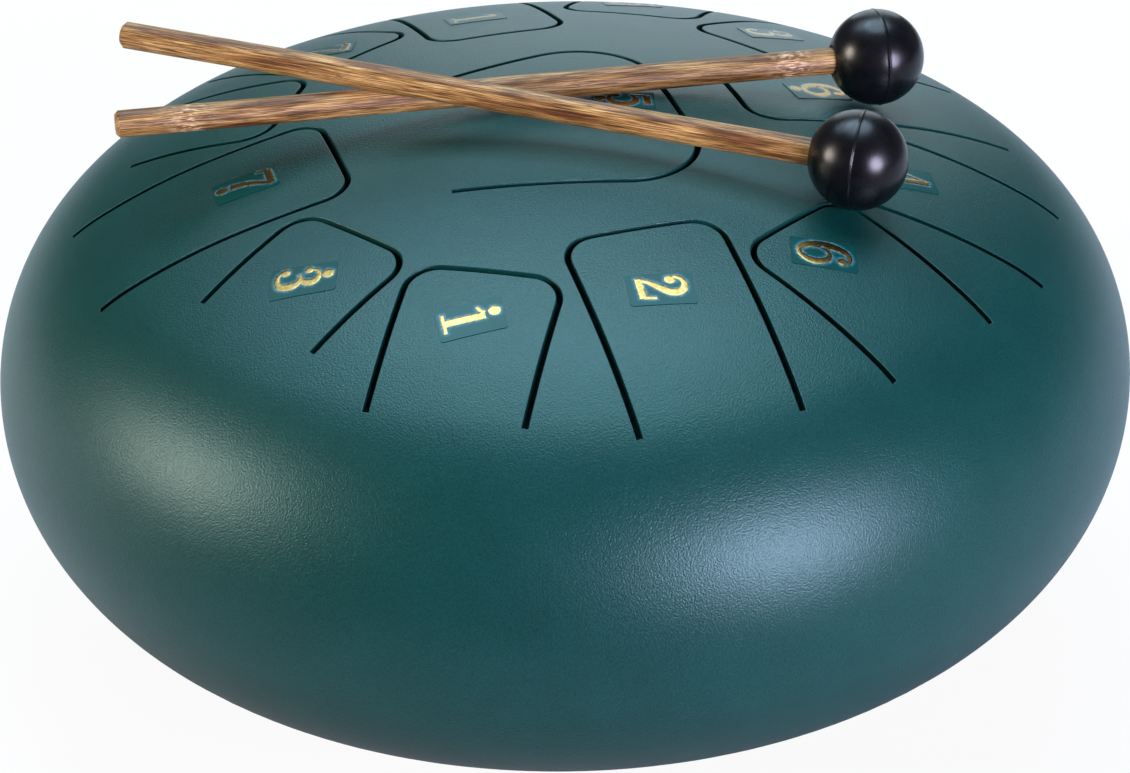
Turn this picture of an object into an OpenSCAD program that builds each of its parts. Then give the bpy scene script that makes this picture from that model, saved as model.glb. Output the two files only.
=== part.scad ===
// Steel tongue drum: two welded steel pressings with thirteen cut tongues, four rubber feet,
// a clear label on every tongue, and a pair of rubber-headed mallets lying across the top.

/* [Drum] */
// Diameter across the widest plane
drum_d = 304.8; // [290:0.1:330]
// Thickness of the pressed steel
wall = 1.6; // [1:0.1:2.2]
// Radius of the rim's arc, seen in section
rim_arc_r = 57; // [52:0.5:62]
// Distance from the middle of the rim's arc in to the middle of the shoulder's arc
shoulder_in = 47.52; // [44:0.01:51]
// Distance from the middle of the rim's arc down to the middle of the shoulder's arc
shoulder_drop = 92.25; // [86:0.01:98]
// Distance from the middle of the shoulder's arc down to the middle of the crown's arc
crown_drop = 164.16; // [150:0.01:180]
// Diameter of the sound hole underneath
sound_hole_d = 90; // [60:1:110]
// Radius of the weld bead that runs round inside the seam
weld_r = 1.8; // [1:0.1:3]

/* [Tongues] */
// Width of the slit round a tongue
slit_w = 1.5; // [1:0.1:2]
// Width of an outer tongue, between the middles of its slits
tongue_w = 38.8; // [35:0.1:40]
// Corner radius of an outer tongue, on the middle of its slit
tongue_corner_r = 8; // [5:0.5:11]
// Width of the centre tongue at its tip
centre_tongue_w = 88.8; // [80:0.2:92]
// Length of the centre tongue
centre_tongue_l = 67.2; // [55:0.2:72]
// Distance from the drum's axis to the tip of the centre tongue
centre_tip = 28.8; // [24:0.1:32]
// Sideways shift of the centre tongue's own axis
centre_shift = 5; // [0:0.1:7]
// Corner radius of the centre tongue, on the middle of its slit
centre_corner_r = 20; // [12:0.5:24]
// Direction in which the centre tongue points
centre_turn = 16; // [10:0.5:22]
// Angle at which each side of the centre tongue spreads towards the tip
centre_flare = 13.1; // [8:0.1:16]

/* [Labels] */
// Length of a label
label_l = 16.5; // [12:0.1:18]
// Width of a label
label_w = 10.5; // [8:0.1:12]
// Thickness of the label's clear film
film_t = 0.12; // [0.08:0.01:0.3]

/* [Feet] */
// Height of a foot, from its seat on the shell down to the ground
foot_h = 13; // [12:0.5:18]
// Diameter of a foot where it meets the shell
foot_seat_d = 27; // [22:0.5:32]
// Diameter of a foot at its lower end
foot_end_d = 22; // [18:0.5:24]
// Distance from the drum's axis to the seat of a foot
foot_ring_r = 72; // [66:0.5:84]
// Rubber held between the screw's head and the shell
foot_grip = 5.5; // [4:0.1:7]
// Diameter of the recess for the screw's head
foot_recess_d = 10; // [9:0.1:12]
// Diameter of a foot's screw
screw_d = 4; // [3:0.1:4.5]
// Diameter of the screw's head
screw_head_d = 8; // [6:0.1:8.5]
// Height of the screw's head
screw_head_h = 2.6; // [1.5:0.1:3.2]
// Length of screw left showing past its nut
screw_end = 1.4; // [0.5:0.1:3]
// Diameter of the washer inside the shell
washer_d = 10; // [8:0.1:14]
// Thickness of the washer
washer_t = 0.9; // [0.5:0.1:1.5]
// Width of the nut across its flats
nut_w = 7; // [6:0.1:8]
// Height of the nut
nut_h = 3.2; // [2:0.1:4]

/* [Mallets] */
// Diameter of a mallet's rubber head
head_d = 25.5; // [22:0.1:30]
// Diameter of a mallet's stick
stick_d = 7; // [6:0.1:9]
// Length of a mallet's stick
stick_l = 203; // [190:1:215]
// Chamfer round the ends of a stick
stick_chamfer = 0.9; // [0.3:0.1:2]
// Thickness of the moulding seam round a head
seam_t = 0.3; // [0.2:0.05:0.6]
// Height of the moulding seam above the head
seam_h = 0.15; // [0.1:0.05:0.25]
// How far the upper mallet's stick goes past the middle of its head
upper_stick_past = 7; // [2:0.5:9]
// How far the lower mallet's stick goes past the middle of its head
lower_stick_past = 0.5; // [0:0.5:8]

/* [Hidden] */
$fn = 144;

// Clearances and the overrun shared by all cuts
rest_gap = 0.3;
seat_gap = 0.02;
hole_gap = 0.25;
thread_gap = 0.05;
glue_t = 0.03;
over = 1;

// Section of one pressing, as three arcs that touch where they run into each other
rim_r = drum_d / 2;
rim_centre = [rim_r - rim_arc_r, 0];
shoulder_centre = rim_centre - [shoulder_in, shoulder_drop];
shoulder_arc_r = rim_arc_r + norm([shoulder_in, shoulder_drop]);
rim_arc_end = atan2(shoulder_drop, shoulder_in);
crown_centre = shoulder_centre - [shoulder_centre.x, crown_drop];
crown_arc_r = shoulder_arc_r + norm([shoulder_centre.x, crown_drop]);
shoulder_arc_end = atan2(crown_drop, shoulder_centre.x);
pressing_h = crown_centre.y + crown_arc_r;
crown_start_r = shoulder_centre.x + shoulder_arc_r * cos(shoulder_arc_end);
joint_reach = 8 * wall;
rim_joint = joint(rim_centre, rim_arc_r, 0);
shoulder_joint = joint(rim_centre, rim_arc_r, rim_arc_end);
crown_joint = joint(shoulder_centre, shoulder_arc_r, shoulder_arc_end);
pole_joint = joint(crown_centre, crown_arc_r, 90);

// A foot leans with the shell, so its axis runs through the middle of the arc that it sits on
foot_on_crown = foot_ring_r < crown_start_r;
foot_arc_centre = foot_on_crown ? crown_centre : shoulder_centre;
foot_arc_r = foot_on_crown ? crown_arc_r : shoulder_arc_r;
foot_lean = asin((foot_ring_r - foot_arc_centre.x) / foot_arc_r);
foot_count = 4;
foot_first_turn = 45;
foot_seat_h = foot_arc_r * cos(foot_lean) + foot_arc_centre.y;
seam_z = foot_seat_h + foot_h;
foot_reach = 2 * foot_h;

// A flat washer stands off the curved shell by the curve's rise over its width
washer_rise = foot_arc_r - wall - sqrt(pow(foot_arc_r - wall, 2) - pow(washer_d / 2, 2)) + seat_gap;

// Outer tongues, in turn round the drum
tongue_turns = [-73, -103.5, -132.5, -164, 165, 136, 106, 76.5, 47.5, 17.5, -13.5, -43];
tongue_tip_shares = [0.417, 0.513, 0.498, 0.399, 0.495, 0.495, 0.382, 0.539, 0.478, 0.31, 0.46, 0.51];
tongue_end_shares = [0.823, 0.803, 0.73, 0.837, 0.75, 0.785, 0.82, 0.85, 0.835, 0.79, 0.851, 0.829];
tongue_w_shares = [1.05, 1, 1, 1.09, 1, 0.99, 0.98, 1, 0.93, 1, 1, 1];

// Length of one straight step round a slit's corner
corner_step_l = 3;

// Label of each note: its place as shares of the drum's radius, and its turn
label_names = ["low_5", "low_6", "low_7", "1", "2", "3", "4", "5", "6", "7", "high_1", "high_2", "high_3"];
label_x_shares = [0.108, 0.453, -0.534, -0.156, 0.155, 0.39, 0.579, 0.138, 0.423, -0.43, -0.148, -0.59,
                  -0.42];
label_y_shares = [0.01, 0.138, -0.155, 0.512, -0.545, 0.459, -0.148, 0.656, -0.42, 0.41, -0.604, 0.158,
                  -0.463];
label_turns = [2, 22, 13, 13, 8, 22, 8, 6, 0, -4, 11.5, 3, -2];

// A height over the plan radius r on the pressing's outside, moved outwards by off
function crown_z(r, off) = crown_centre.y + sqrt(pow(crown_arc_r + off, 2) - r * r);
function shoulder_z(r, off) =
    shoulder_centre.y + sqrt(pow(shoulder_arc_r + off, 2) - pow(r - shoulder_centre.x, 2));
function skin_z(r, off) =
    r < crown_start_r + off * cos(shoulder_arc_end) ? crown_z(r, off) : shoulder_z(r, off);

// Mallets: places of the heads, as shares of the drum's radius, and the way that each stick runs
head_r = head_d / 2;
lower_head_plan = [0.553, 0.132] * rim_r;
upper_head_plan = [0.4875, -0.2775] * rim_r;
lower_turn = 192;
upper_turn = 164.7;
head_off = head_r + seam_h + rest_gap;
lower_head_z = skin_z(norm(lower_head_plan), head_off);
upper_head_z = skin_z(norm(upper_head_plan), head_off);

// The lower stick's middle line touches the crown's sphere, grown by the stick's radius and the gap
lower_way = [cos(lower_turn), sin(lower_turn)];
lower_run = -lower_head_plan * lower_way;
lower_aside = cross(lower_head_plan, lower_way);
lower_sphere_r = sqrt(pow(crown_arc_r + stick_d / 2 + rest_gap, 2) - pow(lower_aside, 2));
lower_drop = lower_head_z - crown_centre.y;
lower_tilt = asin(lower_sphere_r / norm([lower_run, lower_drop])) - atan2(lower_drop, lower_run);

// The upper stick passes one stick's diameter and a gap over the lower one where they cross in plan
upper_way = [cos(upper_turn), sin(upper_turn)];
head_step = lower_head_plan - upper_head_plan;
upper_run = cross(head_step, lower_way) / cross(upper_way, lower_way);
lower_cross_run = cross(head_step, upper_way) / cross(upper_way, lower_way);
cross_z = lower_head_z + lower_cross_run * tan(lower_tilt) + stick_d + rest_gap;
upper_tilt = atan2(cross_z - upper_head_z, upper_run);

// One arc of the section, ending at two joints that it shares with its neighbours
module skin_arc(centre, r, t, from, to) {
    way_out = [cos((from[2] + to[2]) / 2), sin((from[2] + to[2]) / 2)];
    intersection() {
        translate(centre) difference() {
            circle(r + t);
            circle(r);
        }
        polygon([from[0], from[1], centre + 2 * r * way_out, to[1], to[0]]);
    }
}

// A joint's two ends, well inside and well outside the skin, and the angle at which it lies
function joint(centre, r, angle) =
    [centre + (r - joint_reach) * [cos(angle), sin(angle)],
     centre + (r + joint_reach) * [cos(angle), sin(angle)], angle];

// A skin of thickness t that follows the pressing, its inner side off outside the outer face
module skin(off, t) {
    rotate_extrude() {
        skin_arc(rim_centre, rim_arc_r + off, t, rim_joint, shoulder_joint);
        skin_arc(shoulder_centre, shoulder_arc_r + off, t, shoulder_joint, crown_joint);
        skin_arc(crown_centre, crown_arc_r + off, t, crown_joint, pole_joint);
    }
}

// One edge of a tongue's slit: its tip lies across the origin and its sides run towards +X
function slit_edge(w, l, corner_r, flare, out) =
    let (turn = 90 - flare,
         corner = [corner_r, w / 2 - corner_r * (1 + sin(flare)) / cos(flare)],
         side_l = (l - corner_r * (1 + sin(flare))) / cos(flare),
         steps = ceil(corner_r * (90 + flare) * PI / 180 / corner_step_l),
         half = [for (i = [0 : steps])
                     let (a = 180 - i * (180 - turn) / steps)
                     corner + (corner_r + out) * [cos(a), sin(a)]],
         end = half[steps] + side_l * [cos(flare), -sin(flare)])
    concat(half, [end]);

// The cut round one tongue, half a slit's width to each side of its middle line
module slit(w, l, corner_r, flare) {
    outer = slit_edge(w, l, corner_r, flare, slit_w / 2);
    inner = slit_edge(w, l, corner_r, flare, -slit_w / 2);
    polygon(concat(flipped(backwards(outer)), outer, backwards(inner), flipped(inner)));
}

function backwards(points) = [for (i = [len(points) - 1 : -1 : 0]) points[i]];
function flipped(points) = [for (p = points) [p.x, -p.y]];

module tongue_slits() {
    for (i = [0 : len(tongue_turns) - 1]) {
        tip = tongue_tip_shares[i] * rim_r;
        l = tongue_end_shares[i] * rim_r - tip;
        linear_extrude(pressing_h + over) rotate(tongue_turns[i]) translate([tip, 0])
            slit(tongue_w_shares[i] * tongue_w, l, tongue_corner_r, 0);
    }
    linear_extrude(pressing_h + over) rotate(centre_turn + 180) translate([-centre_tip, centre_shift])
        slit(centre_tongue_w, centre_tongue_l, centre_corner_r, centre_flare);
}

// Places its children at every foot, or at one of them, with +Z pointing out of the shell there
module at_foot(first, last) {
    for (i = [first : last])
        translate([0, 0, seam_z]) rotate([0, 0, foot_first_turn + i * 360 / foot_count])
            translate([foot_arc_centre.x, 0, -foot_arc_centre.y]) rotate([0, 180 - foot_lean, 0])
                translate([0, 0, foot_arc_r]) children();
}

module upper_shell() {
    color([0.22, 0.41, 0.42]) translate([0, 0, seam_z]) difference() {
        skin(-wall, wall);
        tongue_slits();
    }
}

module lower_shell() {
    color([0.2, 0.38, 0.39]) difference() {
        translate([0, 0, seam_z]) mirror([0, 0, 1]) difference() {
            skin(-wall, wall);
            cylinder(h = pressing_h + over, d = sound_hole_d);
        }
        at_foot(0, foot_count - 1) translate([0, 0, -wall - over])
            cylinder(h = wall + 2 * over, d = screw_d + 2 * hole_gap);
    }
}

// Bead round the inside of the seam, against the inner faces of both pressings
module seam_weld() {
    color([0.36, 0.37, 0.38]) translate([0, 0, seam_z]) rotate_extrude() intersection() {
        translate([rim_r - wall, 0]) circle(weld_r);
        translate(rim_centre) circle(rim_arc_r - wall - seat_gap);
    }
}

module label(i) {
    color([0.75, 0.72, 0.5]) translate([0, 0, seam_z]) intersection() {
        skin(glue_t, film_t);
        translate(rim_r * [label_x_shares[i], label_y_shares[i]]) rotate(label_turns[i])
            translate([-label_l / 2, -label_w / 2]) cube([label_l, label_w, pressing_h + over]);
    }
}

// Tapered rubber foot, hollowed to the shell at its seat and cut level at the ground
module foot(i) {
    far_d = foot_seat_d - (foot_seat_d - foot_end_d) * foot_reach / foot_h;
    hole_r = screw_d / 2 + hole_gap;
    color([0.1, 0.1, 0.1]) intersection() {
        at_foot(i, i) rotate_extrude() difference() {
            polygon([
                [hole_r, -over], [foot_seat_d / 2, -over], [far_d / 2, foot_reach],
                [foot_recess_d / 2, foot_reach], [foot_recess_d / 2, foot_grip], [hole_r, foot_grip]]);
            translate([0, -crown_arc_r]) circle(crown_arc_r + seat_gap, $fn = 8 * $fn);
        }
        translate([-rim_r, -rim_r, 0]) cube([drum_d, drum_d, seam_z]);
    }
}

// Pan-head screw that comes up through the foot and the shell
module foot_screws() {
    stack = foot_grip + wall + washer_rise + washer_t + nut_h + 2 * seat_gap + screw_end;
    color([0.75, 0.75, 0.76]) at_foot(0, foot_count - 1) {
        translate([0, 0, foot_grip + seat_gap]) cylinder(h = screw_head_h, d = screw_head_d);
        translate([0, 0, foot_grip + seat_gap - stack]) cylinder(h = stack + screw_head_h / 2, d = screw_d);
    }
}

module foot_washers() {
    color([0.7, 0.7, 0.72]) at_foot(0, foot_count - 1)
        translate([0, 0, -wall - washer_rise - washer_t]) difference() {
            cylinder(h = washer_t, d = washer_d);
            translate([0, 0, -over]) cylinder(h = washer_t + 2 * over, d = screw_d + 2 * hole_gap);
        }
}

module foot_nuts() {
    color([0.72, 0.72, 0.74]) at_foot(0, foot_count - 1)
        translate([0, 0, -wall - washer_rise - washer_t - seat_gap - nut_h]) difference() {
            cylinder(h = nut_h, d = nut_w / cos(30), $fn = 6);
            translate([0, 0, -over]) cylinder(h = nut_h + 2 * over, d = screw_d + 2 * thread_gap);
        }
}

// Places its children on a mallet's line, with +Z from the middle of the head to the free end
module on_mallet(plan, z, turn, tilt) {
    translate([plan.x, plan.y, seam_z + z]) rotate([0, 90 - tilt, turn]) children();
}

module stick(past) {
    translate([0, 0, -past]) rotate_extrude() polygon([
        [0, 0], [stick_d / 2 - stick_chamfer, 0], [stick_d / 2, stick_chamfer],
        [stick_d / 2, stick_l - stick_chamfer], [stick_d / 2 - stick_chamfer, stick_l], [0, stick_l]]);
}

// Moulded ball with its seam square to the stick, and a blind hole that the stick is pushed into
module head(past) {
    difference() {
        union() {
            sphere(head_r);
            translate([0, 0, -seam_t / 2]) cylinder(h = seam_t, r = head_r + seam_h);
        }
        translate([0, 0, -past - seat_gap])
            cylinder(h = past + seat_gap + head_d, d = stick_d + 2 * thread_gap);
    }
}

module lower_mallet_stick() {
    color([0.66, 0.47, 0.28]) on_mallet(lower_head_plan, lower_head_z, lower_turn, lower_tilt)
        stick(lower_stick_past);
}

module lower_mallet_head() {
    color([0.08, 0.08, 0.09]) on_mallet(lower_head_plan, lower_head_z, lower_turn, lower_tilt)
        head(lower_stick_past);
}

module upper_mallet_stick() {
    color([0.62, 0.43, 0.25]) on_mallet(upper_head_plan, upper_head_z, upper_turn, upper_tilt)
        stick(upper_stick_past);
}

module upper_mallet_head() {
    color([0.08, 0.08, 0.09]) on_mallet(upper_head_plan, upper_head_z, upper_turn, upper_tilt)
        head(upper_stick_past);
}

upper_shell();
lower_shell();
seam_weld();
for (i = [0 : len(label_names) - 1])
    label(i);
for (i = [0 : foot_count - 1])
    foot(i);
foot_screws();
foot_washers();
foot_nuts();
lower_mallet_stick();
lower_mallet_head();
upper_mallet_stick();
upper_mallet_head();
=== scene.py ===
import math

import bpy
import numpy as np
from mathutils import Matrix, Vector
from mathutils.geometry import delaunay_2d_cdt


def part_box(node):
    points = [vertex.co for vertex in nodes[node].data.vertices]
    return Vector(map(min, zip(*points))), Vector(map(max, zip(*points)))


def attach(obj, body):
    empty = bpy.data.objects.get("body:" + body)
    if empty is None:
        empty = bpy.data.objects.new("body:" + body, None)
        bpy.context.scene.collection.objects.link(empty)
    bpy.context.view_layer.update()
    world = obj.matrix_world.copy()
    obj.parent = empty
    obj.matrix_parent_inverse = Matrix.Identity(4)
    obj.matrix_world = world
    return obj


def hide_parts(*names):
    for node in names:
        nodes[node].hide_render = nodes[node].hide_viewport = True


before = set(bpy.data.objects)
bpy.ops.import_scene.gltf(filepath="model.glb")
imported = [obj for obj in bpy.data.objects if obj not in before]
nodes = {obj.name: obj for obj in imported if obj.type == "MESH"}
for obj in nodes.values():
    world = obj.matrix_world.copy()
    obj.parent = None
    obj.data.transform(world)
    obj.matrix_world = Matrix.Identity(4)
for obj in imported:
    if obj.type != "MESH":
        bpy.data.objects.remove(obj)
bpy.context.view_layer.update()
scene = bpy.context.scene
scene.view_settings.view_transform = "Standard"
mm = 0.001


# sRGB hex to linear, for every colour below
def linear(hexColour):
    parts = [int(hexColour[i:i + 2], 16) / 255 for i in (1, 3, 5)]
    return [c / 12.92 if c <= 0.04045 else ((c + 0.055) / 1.055) ** 2.4 for c in parts] + [1.0]


# links or sets a node's inputs; a node given as a value stands for its first output
def setInputs(tree, node, inputs):
    for key, value in inputs.items():
        if isinstance(value, bpy.types.Node):
            value = value.outputs[0]
        if isinstance(value, bpy.types.NodeSocket):
            tree.links.new(value, node.inputs[key])
        else:
            node.inputs[key].default_value = value


def addNode(tree, kind, inputs=None, **settings):
    node = tree.nodes.new(kind)
    for name, value in settings.items():
        setattr(node, name, value)
    setInputs(tree, node, inputs or {})
    return node


def setStops(node, stops):
    elements = node.color_ramp.elements
    while len(elements) < len(stops):
        elements.new(0.5)
    for element, (place, colour) in zip(elements, stops):
        element.position = place
        element.color = linear(colour)


def newMaterial(name, look):
    material = bpy.data.materials.new(name)
    material.use_nodes = True
    material.diffuse_color = linear(look["colour"])
    shader = material.node_tree.nodes["Principled BSDF"]
    shader.inputs["Base Color"].default_value = linear(look["colour"])
    sockets = {"roughness": "Roughness", "metallic": "Metallic", "tint": "Specular Tint",
               "specular": "Specular IOR Level"}
    for key, socket in sockets.items():
        if key in look:
            shader.inputs[socket].default_value = look[key]
    return material, material.node_tree, shader


# points in metres; cornerNormals has one direction for each corner of each face
def newObject(name, points, faces, material, cornerNormals=None):
    mesh = bpy.data.meshes.new(name)
    mesh.from_pydata(np.asarray(points, float).tolist(), [], faces)
    mesh.polygons.foreach_set("use_smooth", [True] * len(mesh.polygons))
    if cornerNormals is not None:
        mesh.normals_split_custom_set(np.asarray(cornerNormals, float).tolist())
    mesh.materials.append(material)
    piece = bpy.data.objects.new(name, mesh)
    scene.collection.objects.link(piece)
    return piece


def giveAttribute(piece, name, values):
    kind = "FLOAT_VECTOR" if np.ndim(values) == 2 else "FLOAT"
    attribute = piece.data.attributes.new(name, kind, "POINT")
    field = "vector" if kind == "FLOAT_VECTOR" else "value"
    attribute.data.foreach_set(field, np.asarray(values, np.float32).ravel())


# the evenly spaced angles of a circle's points
def fullTurn(count):
    return np.arange(count) * 2 * math.pi / count


# the pressing's section: three arcs that touch, in millimetres from the widest plane
drum = {
    "radius": 152.4, "rimArc": 57.0, "shoulderIn": 47.52, "shoulderDrop": 92.25,
    "crownDrop": 164.16, "wall": 1.6, "soundHole": 45.0, "screwHole": 2.6, "cutEdge": 0.28,
    "plateRadius": 138.0, "columns": 420, "rimRows": 34,  # the net: a plate, then rows to the seam
    "upperGrid": 2.2, "lowerGrid": 3.4, "insideCoarser": 1.6,
}
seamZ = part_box("upper_shell")[0].z / mm
rimX = drum["radius"] - drum["rimArc"]
shoulderX = rimX - drum["shoulderIn"]
crownZ = -drum["shoulderDrop"] - drum["crownDrop"]
shoulderArc = drum["rimArc"] + math.hypot(drum["shoulderIn"], drum["shoulderDrop"])
crownArc = shoulderArc + math.hypot(shoulderX, drum["crownDrop"])
rimEnd = math.atan2(drum["shoulderDrop"], drum["shoulderIn"])
shoulderEnd = math.atan2(drum["crownDrop"], shoulderX)


# height over the widest plane and outward normal for plan points, height outside the outer face
def onPressing(x, y, height=0.0):
    x, y = np.asarray(x, float), np.asarray(y, float)
    r = np.hypot(x, y)
    firstJoint = (crownArc + height) * math.cos(shoulderEnd)
    secondJoint = rimX + (drum["rimArc"] + height) * math.cos(rimEnd)
    arcs = [(0.0, crownZ, crownArc + height, -1.0, firstJoint),
            (shoulderX, -drum["shoulderDrop"], shoulderArc + height, firstJoint, secondJoint),
            (rimX, 0.0, drum["rimArc"] + height, secondJoint, 1e9)]
    z, outward, upward = np.zeros_like(r), np.zeros_like(r), np.ones_like(r)
    for cx, cz, arc, first, last in arcs:
        here = (r >= first) & (r < last)
        rise = np.sqrt(np.maximum(arc * arc - (r - cx) ** 2, 0))
        z = np.where(here, cz + rise, z)
        outward = np.where(here, (r - cx) / arc, outward)
        upward = np.where(here, rise / arc, upward)
    safe = np.maximum(r, 1e-9)
    return z, np.stack([outward * x / safe, outward * y / safe, upward], 1)


def turned(points, degrees):
    a = math.radians(degrees)
    return points @ np.array([[math.cos(a), math.sin(a)], [-math.sin(a), math.cos(a)]])


def split(a, b, step):
    count = max(1, math.ceil(np.linalg.norm(b - a) / step))
    return [a + (b - a) * i / count for i in range(count)]


# the slits round the tongues, in millimetres
tongues = {
    # turn in degrees, tip and end in shares of the drum's radius, share of the width
    "cuts": [(-73, 0.417, 0.823, 1.05), (-103.5, 0.513, 0.803, 1), (-132.5, 0.498, 0.73, 1),
             (-164, 0.399, 0.837, 1.09), (165, 0.495, 0.75, 1), (136, 0.495, 0.785, 0.99),
             (106, 0.382, 0.82, 0.98), (76.5, 0.539, 0.85, 1), (47.5, 0.478, 0.835, 0.93),
             (17.5, 0.31, 0.79, 1), (-13.5, 0.46, 0.851, 1), (-43, 0.51, 0.829, 1)],
    "width": 38.8, "corner": 8.0, "slit": 1.5, "step": 1.3,
    "centre": {"width": 88.8, "length": 67.2, "tip": 28.8, "shift": 5.0, "corner": 20.0,
               "turn": 16.0, "flare": 13.1},
}


# one closed line round a slit, grow outside the cut
def slitLine(width, length, corner, flare, grow):
    f = math.radians(flare)
    centre = np.array([corner, width / 2 - corner * (1 + math.sin(f)) / math.cos(f)])
    side = (length - corner * (1 + math.sin(f))) / math.cos(f)
    way = np.array([math.cos(f), -math.sin(f)])
    arcSteps = math.ceil(corner * (math.pi / 2 + f) / tongues["step"])

    def edge(out):
        angles = np.linspace(math.pi, math.pi / 2 - f, arcSteps + 1)
        arc = [centre + (corner + out) * np.array([math.cos(a), math.sin(a)]) for a in angles]
        tipHalf = [np.array([arc[0][0], t]) for t in np.linspace(0, arc[0][1], tipSteps + 1)[1:-1]]
        sides = [arc[-1] + way * s for s in np.linspace(0, side + grow, sideSteps + 1)[1:]]
        return np.array([np.array([arc[0][0], 0.0])] + tipHalf + arc + sides)

    tipSteps = max(2, math.ceil(centre[1] / tongues["step"]))
    sideSteps = math.ceil(side / tongues["step"])
    half = tongues["slit"] / 2 + grow
    outer, inner = edge(half), edge(-half)
    flip = np.array([1, -1])
    return np.vstack([(outer * flip)[:0:-1], outer, inner[::-1], (inner * flip)[1:]])


def allSlits(grow):
    lines = []
    for turn, tip, end, share in tongues["cuts"]:
        tip, end = tip * drum["radius"], end * drum["radius"]
        line = slitLine(share * tongues["width"], end - tip, tongues["corner"], 0, grow)
        lines.append(turned(line + [tip, 0], turn))
    c = tongues["centre"]
    line = slitLine(c["width"], c["length"], c["corner"], c["flare"], grow)
    lines.append(turned(line + [-c["tip"], c["shift"]], c["turn"] + 180))
    return lines


def circleLine(centre, radius, count):
    a = fullTurn(count)
    return np.stack([centre[0] + radius * np.cos(a), centre[1] + radius * np.sin(a)], 1)


def insideLine(points, line):
    inside = np.zeros(len(points), bool)
    near = np.all((points >= line.min(0)) & (points <= line.max(0)), 1)
    x, y = points[near, 0][:, None], points[near, 1][:, None]
    x1, y1 = line[:, 0], line[:, 1]
    x2, y2 = np.roll(x1, -1), np.roll(y1, -1)
    rise = np.where(y2 == y1, 1e-12, y2 - y1)
    cross = ((y1 > y) != (y2 > y)) & (x < (x2 - x1) * (y - y1) / rise + x1)
    inside[near] = cross.sum(1) % 2 == 1
    return inside


# triangles over flat points that begin with closed lines, and what each point came from
def triangulate(points, lines, nearest):
    edges = []
    for line in lines:
        start, count = len(edges), len(line)
        edges += [(start + i, start + (i + 1) % count) for i in range(count)]
    found = delaunay_2d_cdt([Vector(p) for p in points.tolist()], edges, [], 0, nearest)
    return np.array([tuple(v) for v in found[0]]), np.array(found[2]), found[3]


# flat triangles all turned to face up, each with its doubled area
def facingUp(flat, tris):
    a, b, c = flat[tris[:, 0]], flat[tris[:, 1]], flat[tris[:, 2]]
    area = (b[:, 0] - a[:, 0]) * (c[:, 1] - a[:, 1]) - (b[:, 1] - a[:, 1]) * (c[:, 0] - a[:, 0])
    tris[area < 0] = tris[area < 0][:, ::-1]
    return tris, np.abs(area)


# triangles between closed lines: the first bounds the sheet, the others are its holes;
# back gives each line point's place in the sheet
def meshBetween(lines, spacing):
    outer, holes, clear = lines[0], lines[1:], spacing / 2
    size, rowStep = np.abs(outer).max(), spacing * 0.866  # rows of even-sided triangles
    steps = np.arange(-size, size + spacing, spacing)
    gx, gy = np.meshgrid(steps, np.arange(-size, size + spacing, rowStep))
    gx = gx + (np.arange(gx.shape[0]) % 2)[:, None] * spacing / 2
    fill = np.stack([gx.ravel(), gy.ravel()], 1)
    fill = fill[insideLine(fill, outer)]
    fixed = np.vstack(lines)
    buckets = {}
    for p in fixed:
        buckets.setdefault((int(p[0] // clear), int(p[1] // clear)), []).append(p)
    kept = []
    for p in fill:
        i, j = int(p[0] // clear), int(p[1] // clear)
        cells = [(a, b) for a in (i - 1, i, i + 1) for b in (j - 1, j, j + 1)]
        near = [q for cell in cells for q in buckets.get(cell, ())]
        if all((p[0] - q[0]) ** 2 + (p[1] - q[1]) ** 2 > clear * clear for q in near):
            kept.append(p)
    points = np.vstack([fixed, np.array(kept)]) if kept else fixed
    flat, tris, cameFrom = triangulate(points, lines, 1e-6)
    assert len(flat) == len(points), "the sheet's lines cross"
    middle = flat[tris].mean(1)
    keep = insideLine(middle, outer)
    for line in holes:
        keep &= ~insideLine(middle, line)
    tris, area = facingUp(flat, tris[keep])
    back = np.zeros(len(fixed), int)
    for i, sources in enumerate(cameFrom):
        back[[j for j in sources if j < len(fixed)]] = i
    flat[back] = fixed
    return flat, tris[area > 1e-9], back


# a closed solid skinned over rings of points: loop joins the last ring to the first,
# else both ends are capped
def ringSolid(name, rows, material, loop=False, sharp=35):
    count, last = len(rows[0]), len(rows) - 1
    points, faces = np.vstack(rows), []
    for i in range(len(rows) if loop else last):
        a, b = i * count, (i + 1) % len(rows) * count
        for j in range(count):
            k = (j + 1) % count
            faces.append([a + j, a + k, b + k, b + j])
    if not loop:
        points = np.vstack([points, rows[0].mean(0), rows[-1].mean(0)])
        for j in range(count):
            k = (j + 1) % count
            faces.append([k, j, len(points) - 2])
            faces.append([last * count + j, last * count + k, len(points) - 1])
    corners = points - points.mean(0)
    volume = sum(np.dot(corners[f[0]], np.cross(corners[f[i]], corners[f[i + 1]]))
                 for f in faces for i in range(1, len(f) - 1))
    if volume < 0:
        faces = [face[::-1] for face in faces]
    piece = newObject(name, points * mm, faces, material)
    piece.data.set_sharp_from_angle(angle=math.radians(sharp))
    return piece


# the outward directions round an axis
def outFrom(way, around):
    side = np.cross(way, [0, 0, 1.0]) if abs(way[2]) < 0.9 else np.cross([0, 1.0, 0], way)
    side /= np.linalg.norm(side)
    a = fullTurn(around)
    return np.cos(a)[:, None] * side + np.sin(a)[:, None] * np.cross(side, way)


# a ring of points round an axis; run and radius are one number or one for each point
def ringAt(origin, way, run, radius, around):
    along = np.multiply.outer(np.broadcast_to(run, around), way)
    return origin + along + outFrom(way, around) * np.reshape(radius, (-1, 1))


roundingSteps = (30, 60, 90)  # degrees through a rounded edge


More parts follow.
